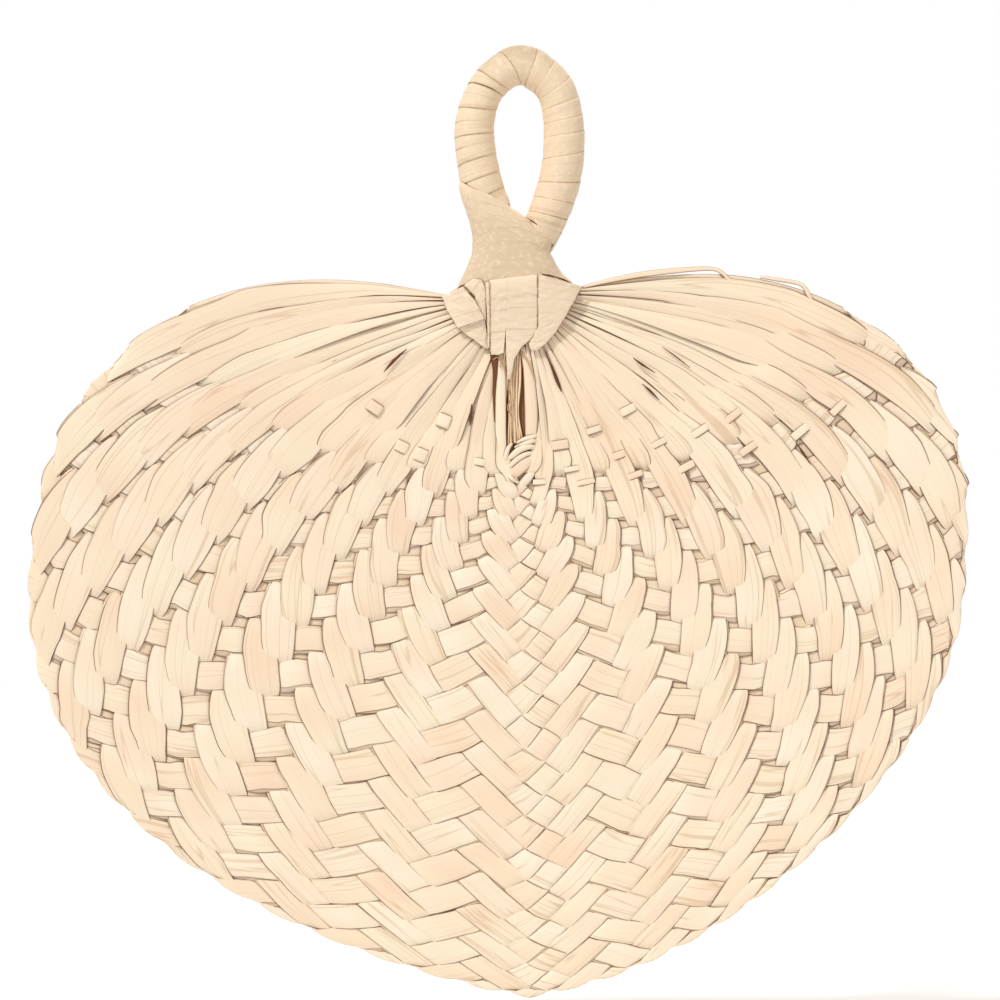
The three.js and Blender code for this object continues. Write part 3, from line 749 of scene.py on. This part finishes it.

# Slits are thin dark sheets of painted shade, shaped as slivers of brown sheath, for the deep shade in the
# gaps between leaves. The first rows lie beside the middle, the next out in the two fans, and the last
# three at the upper edges of the collar and the neck.
SLITS = [
    [(494, 352, 9, -1.1), (495, 372, 4.5, -1.2), (494, 395, 2.8, -1.2), (494.5, 422, 0.8, -1.2)],
    [(471.8, 404, 0.6, -1.3), (471.4, 411, 2.2, -1.4), (470.6, 419, 2.6, -1.4), (470, 426, 0.6, -1.3)],
    [(545, 351, 0.8, -1.2), (551, 366, 1.6, -1.3), (557, 381, 3.0, -1.3), (561.5, 392, 0.8, -1.2)],
    [(633, 358, 0.6, -1.6), (641, 364, 2.2, -1.7), (655, 373, 0.6, -1.6)],
    [(642, 384, 0.6, -1.6), (650, 391, 2.2, -1.7), (659, 400, 0.6, -1.6)],
    [(662, 347, 0.5, -1.6), (676, 357, 1.3, -1.7), (690, 368, 0.5, -1.6)],
    [(795, 442, 0.6, -1.6), (803, 453, 2.0, -1.7), (810, 464, 0.6, -1.6)],
    [(407, 349, 0.6, -1.6), (399, 356, 2.4, -1.7), (391, 364, 2.8, -1.7), (384, 372, 0.6, -1.6)],
    [(542, 275.3, 0.8, -5.8), (549, 276.2, 1.6, -5.5), (557, 278.2, 1.1, -5.0), (564, 280.5, 1.6, -4.2),
     (571, 283.5, 0.8, -2.8)],
    [(528, 219, 0.5, -3.4), (534, 223, 1.2, -4.0), (540.5, 227.5, 0.5, -4.4)],
    [(457, 290, 0.8, -1.8), (461, 287, 1.8, -3.4), (465, 285, 0.6, -4.2)],
]
# Deep between the leaves no light reaches, and the slits' sheath is painted shade there: a dark brown
shaded_sheath = dried_leaf("dry brown leaf sheath, in shade", pale="7A4E2E", deep="63401F", blush="7E5030",
                           crease="5A371C", shade="63401F", line="553319", roughness=0.8)
open_slits = [ribbon(line, 0.15, curl=0.02) for line in SLITS]
leaf_piece("open_slits", open_slits, shaded_sheath)

# The middle fibre: a bunch of thin loose fibres, torn from the leaves, that hangs down the middle from the
# root to the eye of the plait, and four that stray. The bunch's rows are y, and the x of its first fibre
# and the step to the next, in photo pixels.
FIBRES = 9
FIBRE_ROWS = [(352, 507, 1.7), (382, 508.5, 1.35), (412, 509, 1.2), (446, 508.5, 1.6)]
STRAY_FIBRES = [
    [(518, 350, 1.5, -0.8), (525, 357, 1.8, -1.2), (530, 366, 1.6, -1.5), (535, 380, 1.2, -1.4)],
    [(493, 360, 1.0, -1.2), (497, 357.5, 1.2, -1.5), (501, 361, 1.2, -1.6), (500, 368, 0.8, -1.5)],
    [(508, 388, 1.0, -0.9), (510.5, 398, 1.0, -1.3), (507.5, 408, 1.0, -1.4), (512, 416, 0.8, -1.2)],
    [(503.5, 340, 1.4, -1.6), (505, 352, 1.6, -1.8), (504, 362, 1.4, -1.7), (505.5, 374, 1.0, -1.4)],
]
# Torn fibres are a warmer straw than the leaf's smooth face, and a little less satin, and the painted shade
# in their hollows is a lighter brown
fibre_leaf = dried_leaf("raffia fibre", pale="FDE8C8", deep="EAC297", blush="F8D6AE", crease="CB9A6A",
                        shade="C99B66", line="B07E52", roughness=0.6, hollow="BC9062")
rng = np.random.default_rng(7)
fibres = []
for n in range(FIBRES):
    sway = rng.uniform(-0.7, 0.7, 4)
    depth = rng.uniform(-0.5, 0.2, 4)
    ends_lower = (0, 0, 0, rng.uniform(-8, 4))
    line = [(start + n * step + sway[i], y + ends_lower[i], rng.uniform(1.6, 3.2), depth[i])
            for i, (y, start, step) in enumerate(FIBRE_ROWS)]
    fibres.append(ribbon(line, 0.25, tone=rng.uniform(-1, 1), curl=0.05))
fibres += [ribbon(line, 0.2, curl=0.03) for line in STRAY_FIBRES]
bunch = leaf_piece("middle_fibres", fibres, fibre_leaf)
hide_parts("middle_fibre")

# The knot of small plaits at the eye, where the blade was begun: narrow strips of leaf that were bent and
# crossed over each other before the herringbone starts below them.
KNOT = [
    [(537, 435.5, 3, -0.5), (532, 437, 5, -1.3), (524, 439.5, 5, -1.4), (517, 443, 3, -0.5)],
    [(537, 440.5, 3, -0.4), (531, 441.5, 5, -1.6), (523, 444.5, 5, -1.7), (515, 448, 4, -0.5)],
    [(536.5, 448.5, 3, -0.4), (530, 446.5, 6, -1.5), (520, 449.5, 7, -1.9), (512, 456, 6, -1.6),
     (506, 462, 3, -0.4)],
    [(535, 454, 3, -0.4), (528, 453.5, 5, -1.3), (519, 458, 6, -1.6), (511, 465, 5, -1.4),
     (506, 470, 3, -0.4)],
    [(534, 456, 5, -0.5), (527, 462, 11, -1.3), (517, 471, 12, -1.4), (509, 478, 9, -0.5)],
    [(512, 443, 3, -0.4), (508, 449, 5, -1.2), (505.5, 458, 5, -1.2), (505, 466, 3, -0.4)],
    [(507, 473, 3, -0.6), (512, 479, 4, -1.7), (519, 483, 3, -0.6)],
    [(535, 470, 5, -0.5), (528, 478, 9, -1.2), (520, 487, 8, -0.5)],
]
knot = [ribbon(line, 0.3, tone=rng.uniform(-1, 1), curl=0.35) for line in KNOT]
leaf_piece("knot_of_plaits", knot, straw_leaf)

# The root: under the collar the ends of all the strips lie side by side, pressed into a fluted wedge. Rows
# are the height, the half width and the half depth in mm.
ROOT_ROWS = [(-57.5, 11.0, 4.8), (-61, 14.0, 4.2), (-66, 13.5, 3.0), (-71, 10.0, 1.9), (-76, 5.5, 1.0)]
ROOT_FLUTES = 40
FLUTE_HEIGHT = 0.04


def closed_body(name, rings, material):
    """A mesh object through closed rings of points in mm. Its UV map runs along the body and round it."""
    rows, columns = rings.shape[:2]
    around = np.cumsum(np.linalg.norm(np.diff(rings, axis=1, prepend=rings[:, -1:]), axis=-1), axis=1)
    along = np.linalg.norm(np.diff(rings.mean(axis=1), axis=0, prepend=rings[:1].mean(axis=1)), axis=-1)
    uv = np.stack(np.broadcast_arrays(around, np.cumsum(along)[:, None]), axis=-1).reshape(-1, 2)
    flat = np.zeros(rows * columns)
    faces = ring_faces(rows, columns, 0)
    return finish_piece(name, rings.reshape(-1, 3), faces, uv, [flat] * 3, material)


height, half_width, half_depth = spline(ROOT_ROWS, np.linspace(0, 1, 30)).T[..., None]
angle = np.linspace(0, 2 * math.pi, 240, endpoint=False)
flute = 1 + FLUTE_HEIGHT * np.abs(np.sin(angle * ROOT_FLUTES / 2))
width, depth = half_width * np.cos(angle) * flute, -half_depth * np.sin(angle) * flute
rings = np.stack(np.broadcast_arrays(width, depth, height), axis=-1)
root = closed_body("strip_root", rings, straw_leaf)
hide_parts("gathered_root")

# The loop: a bundle of leaf ends bent round, and one flat leaf wound tightly over it so that each turn
# covers part of the turn before. Rows are x and y in photo pixels and the radius in mm.
LOOP_ROWS = [
    (499, 236, 6.0), (490, 210, 6.1), (482.9, 189, 6.1), (478.4, 168, 5.9), (475.3, 147, 5.8),
    (474.3, 130, 5.7), (477.2, 111, 5.5), (484.5, 92, 5.3), (500, 74, 5.4), (522, 65, 5.8),
    (543, 75.5, 5.6), (556.3, 91.5, 5.6), (562.5, 114, 5.7), (564, 136, 5.9), (562.8, 163, 6.0),
    (557.5, 189, 6.0), (548.5, 214, 5.8), (539, 236, 5.5), (529, 257, 5.0),
]
LOOP_TURNS = 22
FIRST_TURN = 0.4
TURN_OVERLAP = 1.5
TURN_STEP = 0.24
TURN_DRIFT = 0.45
ROWS_PER_TURN = 40
WINDING_THICKNESS = 0.25
CORE_SHARE = 0.88
CORE_END = 0.92
# The loop's two ends are hidden in the neck: the left one is drawn in all round, and the right one in
# front, and it bends back. Lengths in mm, and ranges as shares of the loop's line.
DEEPEST = 6.1
LEFT_END_DRAWN_IN = 1.0
LEFT_END_SIDE = (0.0, 0.045)
LEFT_END_FRONT = (0.06, 0.12)
RIGHT_END_DRAWN_IN = 1.2
RIGHT_END_FRONT = (0.88, 0.95)
RIGHT_END_BACK = 1.05
RIGHT_END_BEND = (0.86, 1.0)
ALONG_STEP = 0.005
# The winding's edge lifts off here and there, and its face has fine cross creases. Heights in mm, and the
# creases' wave over the leaf's width in radians
EDGE_LIFT = 0.5
CROSS_CREASE = 0.1
CREASE_WAVE = 11
SUNK = 0.1
TURN_TONE = 0.7
# The loop's top gets painted shade: heights in mm over which the shade colour comes in, and its share
LOOP_SHADE_HEIGHTS = (3, 10)
LOOP_SHADE_SHARE = 0.75
# Pale specks: their size in mm with their noise's detail and roughness, the range of it over which they
# come in, their share, and how strongly and how high, in mm, they raise the surface
SPECKS = (1.6, 4.0, 0.65)
SPECK_RANGE = (0.52, 0.72)
SPECK_SHARE = 0.6
SPECK_RELIEF = 0.5
SPECK_HEIGHT = 0.3


def mottled(material, pale):
    """Small pale specks and cross creases over a leaf: a fine noise, brought to a share by a Map Range,
    mixes in the pale colour and raises the surface."""
    tree = material.node_tree
    shader = tree.nodes["Principled BSDF"]
    base = shader.inputs["Base Color"].links[0].from_socket
    size, detail, grain = SPECKS
    low, high = SPECK_RANGE
    uv = add_node(tree, "ShaderNodeUVMap", {"uv_map": "lengthwise"}, {})
    stretch = add_node(tree, "ShaderNodeVectorMath", {"operation": "MULTIPLY"},
                       {0: uv.outputs[0], 1: (1 / size, 1 / size, 1)})
    noise = add_node(tree, "ShaderNodeTexNoise", {"noise_dimensions": "2D"},
                     {"Vector": stretch.outputs[0], "Scale": 1.0, "Detail": detail, "Roughness": grain})
    specks = noise.outputs["Fac"]
    share = add_node(tree, "ShaderNodeMapRange", {},
                     {"Value": specks, "From Min": low, "From Max": high, "To Max": SPECK_SHARE})
    colour = add_node(tree, "ShaderNodeMix", {"data_type": "RGBA"},
                      {0: share.outputs[0], 6: base, 7: linear(pale)})
    tree.links.new(colour.outputs[2], shader.inputs["Base Color"])
    creased = add_node(tree, "ShaderNodeBump", {},
                       {"Strength": SPECK_RELIEF, "Distance": SPECK_HEIGHT * MM, "Height": specks})
    tree.links.new(creased.outputs[0], shader.inputs["Normal"])


# The winding leaf is tan, a little duller than the blade, and mottled with pale specks. Its shade colour is
# painted shade, over the loop's top and low on the neck, and its hollows get a browner painted shade.
# The bundle under it is darker and matt, and shows only where the winding opens.
binding = dried_leaf("dried raffia leaf, tan", pale="EFDABB", deep="DFC39C", blush="F1D8BC",
                     crease="C9A980", shade="C9B292", line="B8926A", roughness=0.65, hollow="A8825A")
mottled(binding, "FBEBD2")
inner_bundle = dried_leaf("bundled leaf ends", pale="D9BE93", deep="B9935F", blush="D2B083",
                          crease="A67F4E", shade="B9935F", line="8A6437", roughness=0.8)


def loop_place(t, angle, beyond):
    """Point on the loop's tube: t along its line, an angle round it from the outer side over the front,
    and mm beyond its radius. Cosine and sine of the angle carry it out and forward, and the tube is a
    little flatter from front to back than it is wide."""
    t = np.clip(t, ALONG_STEP, 1 - ALONG_STEP)
    x, y, radius = np.moveaxis(spline(LOOP_ROWS, t), -1, 0)
    before = spline(LOOP_ROWS, t - ALONG_STEP)
    after = spline(LOOP_ROWS, t + ALONG_STEP)
    along = np.stack([after[..., 0] - before[..., 0], before[..., 1] - after[..., 1]], axis=-1)
    along /= np.linalg.norm(along, axis=-1, keepdims=True)
    x, z = at_pixel(x, y)
    reach = radius + beyond
    out = (reach - LEFT_END_DRAWN_IN * (1 - smooth(t, *LEFT_END_SIDE))) * np.cos(angle)
    behind = RIGHT_END_BACK * smooth(t, *RIGHT_END_BEND)
    deep = np.minimum(reach - LEFT_END_DRAWN_IN * (1 - smooth(t, *LEFT_END_FRONT)), DEEPEST)
    deep = deep - RIGHT_END_DRAWN_IN * smooth(t, *RIGHT_END_FRONT)
    depth = behind - deep * np.sin(angle)
    return np.stack([x - out * along[..., 1], depth, z + out * along[..., 0]], axis=-1)


t = np.linspace(0, CORE_END, 90)[:, None]
angle = np.linspace(0, 2 * math.pi, 32, endpoint=False)
radius = spline(LOOP_ROWS, t)[..., 2]
rings = loop_place(t, angle, (CORE_SHARE - 1) * radius)
core = closed_body("loop_bundle", rings, inner_bundle)
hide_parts("loop_core")
rng = np.random.default_rng(21)
turn = np.linspace(0, LOOP_TURNS, LOOP_TURNS * ROWS_PER_TURN)
across = np.linspace(-1, 1, 11)
w = (across + 1) / 2
begin = (turn + TURN_DRIFT * kinks(turn, rng, step=1.3)) / (LOOP_TURNS + TURN_OVERLAP)
t = begin[:, None] + w * TURN_OVERLAP / (LOOP_TURNS + TURN_OVERLAP)
lifted = np.maximum(kinks(turn, rng, step=0.45), 0)[:, None] ** 4 * EDGE_LIFT
folds = np.sin(w * CREASE_WAVE + 4 * kinks(turn, rng, step=0.8)[:, None])
crease = CROSS_CREASE * folds * kinks(turn, rng, step=0.4)[:, None]
beyond = TURN_STEP * (1 - w) + lifted * (1 - w) ** 3 + crease - SUNK
surface = loop_place(t, 2 * math.pi * turn[:, None] + FIRST_TURN, beyond)
# Painted shade over the loop's top, given in the inner-layer share
painted_shade = LOOP_SHADE_SHARE * smooth(surface[..., 2].mean(axis=1), *LOOP_SHADE_HEIGHTS)
tone = TURN_TONE * kinks(turn, rng, step=1.0)
winding = (surface, surface_normal(surface), WINDING_THICKNESS, across, tone, painted_shade)
wrap = leaf_piece("loop_wrap", [winding], binding)
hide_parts("loop_winding")

# The neck: the leaf ends are bound into an oval stem. Its rows are y, and x of its left or right edge, in
# photo pixels, or y and the half depth in mm.
NECK_LEFT = [
    (180, 458.8), (200, 462.5), (209, 465.5), (220, 468.2), (231, 470.6), (245, 472.4), (255, 471.6),
    (268, 466.5), (279, 461.4), (288, 456.8), (294, 453.5),
]
NECK_RIGHT = [
    (180, 499), (200, 506), (209, 513), (218, 526.5), (228, 540.5), (236, 548.5), (243, 553.3),
    (251.5, 549.7), (264.5, 556.3), (274, 562.4), (282, 571.6), (288, 577.5), (294, 581),
]
NECK_DEPTH = [(180, 5.9), (200, 5.8), (225, 5.9), (250, 5.8), (275, 5.6), (294, 5.2)]
BOXINESS = 0.75
STEM_TOP = 208
NECK_FOOT = 293
STEM_INSET = 1.0


def neck_place(y, angle, beyond):
    """Point of the neck at a height in photo pixels and an angle round it from its right side over the
    front. The section is an oval with flattened sides: powers of cosine and sine."""
    y, angle = np.broadcast_arrays(y, angle)
    left, right, depth = (np.interp(y, *np.transpose(rows)) for rows in (NECK_LEFT, NECK_RIGHT, NECK_DEPTH))
    middle = (left + right) / 2
    cos, sin = np.cos(angle), np.sin(angle)
    half = (right - left) / 2 * MM_PER_PIXEL + beyond
    x, z = at_pixel(middle, y)
    return np.stack([x + half * np.sign(cos) * np.abs(cos) ** BOXINESS,
                     -(depth + beyond) * np.sign(sin) * np.abs(sin) ** BOXINESS, z], axis=-1)


angle = np.linspace(0, 2 * math.pi, 48, endpoint=False)
rings = neck_place(np.linspace(STEM_TOP, NECK_FOOT, 24)[:, None], angle, -STEM_INSET)
stem = closed_body("neck_bundle", rings, inner_bundle)
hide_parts("neck_core")

# The neck's winding: the wrapping leaf runs on from the loop's left leg and over its right leg, and a
# second sheet covers it down to the collar. Each is wrapped once round and meets behind. Its upper edge is
# given as y at places from the left side (-1) to the right (1). The leaf gets painted shade lower down.
UPPER_EDGE = [(-1, 181), (0, 193), (1, 206)]
UPPER_FOOT = 256
SEAM = [(-1, 243), (-0.6, 235), (-0.25, 229.5), (0.25, 229), (0.6, 235), (1, 246)]
UPPER_LIFT = [(195, 0.2), (225, -0.4)]
LOWER_LIFT = -0.15
EDGE_TUCK = 0.7
TUCKED_SHARE = 0.08
NECK_ROWS = 50
NECK_THICKNESS = 0.3
NECK_SHADE_SHARE = 0.45
NECK_TONE = 0.5
NECK_SHADE_PIXELS = (200, 240)
RIPPLE = 0.05
RIPPLE_PIXELS = 2.1
rng = np.random.default_rng(33)
across = np.linspace(-1, 1, 97)
angle = -math.pi / 2 + math.pi * (1 + across)
v = np.linspace(0, 1, NECK_ROWS)[:, None]
neck_sheets = []
for edge, foot in ((UPPER_EDGE, UPPER_FOOT), (SEAM, NECK_FOOT)):
    top = np.interp(np.cos(angle), *np.transpose(edge))
    y = top + (foot - top) * v
    waves = np.sin(y / RIPPLE_PIXELS + 2.5 * kinks(across, rng, step=0.3))
    ripple = RIPPLE * waves * (0.5 + 0.5 * kinks(across, rng, step=0.2))
    lift = np.full_like(y, LOWER_LIFT)
    if edge is UPPER_EDGE:
        lift = np.interp(y, *np.transpose(UPPER_LIFT))
        lift = lift - EDGE_TUCK * np.cos(angle) ** 2 * (1 - smooth(v, 0, TUCKED_SHARE))
    surface = neck_place(y, angle, lift + ripple)
    # Painted shade on the neck, coming in towards the collar
    painted_shade = NECK_SHADE_SHARE * smooth(y.mean(axis=1), *NECK_SHADE_PIXELS)
    tone = NECK_TONE * kinks(v[:, 0], rng, step=0.3)
    neck_sheets.append((surface, surface_normal(surface), NECK_THICKNESS, across, tone, painted_shade))
neck_wrap = leaf_piece("neck_wrap", neck_sheets, binding, turned=True)
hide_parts("neck_winding")

# The collar: broad pieces of leaf folded down over the root and pressed flat, with torn lower ends. Each
# panel lies between a left and a right edge, given from top to bottom in photo pixels. Rows of the depths
# are the height and the half depth of the root's oval front, in mm.
COLLAR_DEPTHS = [(-82, 0.9), (-76, 1.4), (-71, 2.4), (-66, 3.6), (-60, 4.9), (-55, 5.6)]
COLLAR_HALF_WIDTH = 21.0
COLLAR_MIDDLE = -0.5
COLLAR_ROUNDNESS = 2.5
COLLAR_FRONT = 6.1
NECK_FRONT = 5.6
BLADE_FRONT = 0.9
PANEL_ROWS = 50
PANEL_COLUMNS = 33
PANEL_THICKNESS = 0.4
PANEL_RIPPLE = 0.06
PANEL_TONE = 0.4
TORN_ROWS = (0.6, 1.0)
SIDE_ROUGHNESS = 0.4
# Broad pieces of leaf look smoother and paler than the winding, and have pale specks, soft tan lines at
# their edges that are partly painted shade, and a browner painted shade in their hollows
collar_leaf = dried_leaf("dried raffia leaf, broad", pale="F4E2C6", deep="E4CBA6", blush="F5DEC4",
                         crease="CDAE86", shade="D2B288", line="A9825A", roughness=0.6, hollow="A47C54")
mottled(collar_leaf, "FCF0DA")


def panel(left, right, lift, torn=0.0, seed=1, flush=0.0, cut=(-1, 1)):
    """A sheet between two edges. It lies over the oval front of the root, lift mm above it, and its last
    rows are torn by a broken line torn pixels deep. Flush is the share of its rows that rise from the neck,
    and cut are the columns that it has of a wider piece, of which -1 and 1 are the edges."""
    rng = np.random.default_rng(seed)
    v = np.linspace(0, 1, PANEL_ROWS)
    left, right = (np.stack([np.interp(v, np.linspace(0, 1, len(edge)), values)
                             for values in np.transpose(edge)], axis=-1) for edge in (left, right))
    across = np.linspace(*cut, PANEL_COLUMNS)
    share = np.linspace(0, 1, PANEL_COLUMNS)[:, None]
    pixels = left[:, None] + share * (right - left)[:, None]
    rough = torn * kinks(across, rng, step=0.12) * smooth(v, *TORN_ROWS)[:, None]
    edge_rough = SIDE_ROUGHNESS * kinks(v, rng, step=0.05)[:, None] * across ** 8
    x, z = at_pixel(pixels[..., 0] + edge_rough, pixels[..., 1] + rough)
    side = np.clip(np.abs(x - COLLAR_MIDDLE) / COLLAR_HALF_WIDTH, 0, 1)
    oval = (1 - side ** COLLAR_ROUNDNESS) ** 0.5
    front = np.interp(z, *np.transpose(COLLAR_DEPTHS)) * oval
    ripple = PANEL_RIPPLE * np.sin(z * 2.2 + 3 * kinks(across, rng, step=0.5))
    depth = -np.maximum(front, BLADE_FRONT) - lift + ripple
    rise = (smooth(v, -0.001, flush) if flush else np.ones(PANEL_ROWS))[:, None]
    depth = np.maximum(depth, -COLLAR_FRONT) * rise + -NECK_FRONT * oval * (1 - rise)
    surface = np.stack([x, depth, z], axis=-1)
    tone = PANEL_TONE * kinks(v, rng, step=0.4)
    return surface, surface_normal(surface), PANEL_THICKNESS, across, tone, 0.0


LEFT_PANELS = [
    panel([(455, 324), (463, 333), (474, 340), (485, 348)],
          [(484, 312), (486, 325), (487.5, 335), (489, 349)], lift=0.3, torn=1.0, seed=2),
    panel([(464, 286), (474.8, 297), (479, 313)], [(474, 279), (482, 280), (486.5, 290), (486, 321)],
          lift=0.7, seed=3, flush=0.2),
    panel([(442, 297), (446, 309), (457.6, 328.5)], [(463, 287), (475.5, 301), (485, 319)],
          lift=1.3, seed=4),
]
TONGUE_PANELS = [
    panel([(489, 281), (489, 307), (489.4, 333), (490.5, 355)],
          [(507.6, 278.6), (507.2, 305), (505.4, 333), (503.5, 353)],
          lift=0.9, torn=1.5, seed=9, flush=0.14, cut=(-1, 0.3)),
    panel([(505.4, 278.6), (505.4, 305), (505.8, 333), (506, 350), (506.8, 366), (507.7, 379)],
          [(537.7, 275), (538, 304), (538, 333), (522, 347), (514.6, 358), (510, 379)],
          lift=0.9, torn=1.5, seed=5, flush=0.1, cut=(-0.3, 1)),
    panel([(485, 283), (486, 300), (487, 320), (487.5, 348)],
          [(489.5, 283), (490, 300), (490, 320), (489.5, 348)], lift=1.2, seed=6),
]
RIGHT_PANELS = [
    panel([(537.6, 274.8), (537.6, 300), (537.6, 327), (532, 338), (528.5, 344), (530, 349)],
          [(582.7, 287), (573.5, 303), (563.5, 320), (556, 332), (546, 344), (536, 352)],
          lift=1.05, torn=1.0, seed=7),
]
left_flap = leaf_piece("collar_left", LEFT_PANELS, collar_leaf, turned=True)
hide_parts("collar_left_flap")
tongue = leaf_piece("collar_middle", TONGUE_PANELS, collar_leaf, turned=True)
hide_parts("collar_tongue")
right_flap = leaf_piece("collar_right", RIGHT_PANELS, collar_leaf, turned=True)
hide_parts("collar_right_flap")

# Behind, one broad piece of leaf is folded down over the root. It is shaped as a front panel is, and turned
# to the back.
BACK_PANEL = panel([(464, 283), (449, 293), (452, 318), (480, 348), (505, 355)],
                   [(566, 283), (578, 289), (572, 308), (556, 330), (532, 355)], lift=0.6, torn=1.5, seed=8)
surface = BACK_PANEL[0] * [1, -1, 1]
back_sheet = (surface, surface_normal(surface)) + BACK_PANEL[2:]
back_flap = leaf_piece("collar_back", [back_sheet], collar_leaf)
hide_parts("collar_back_flap")
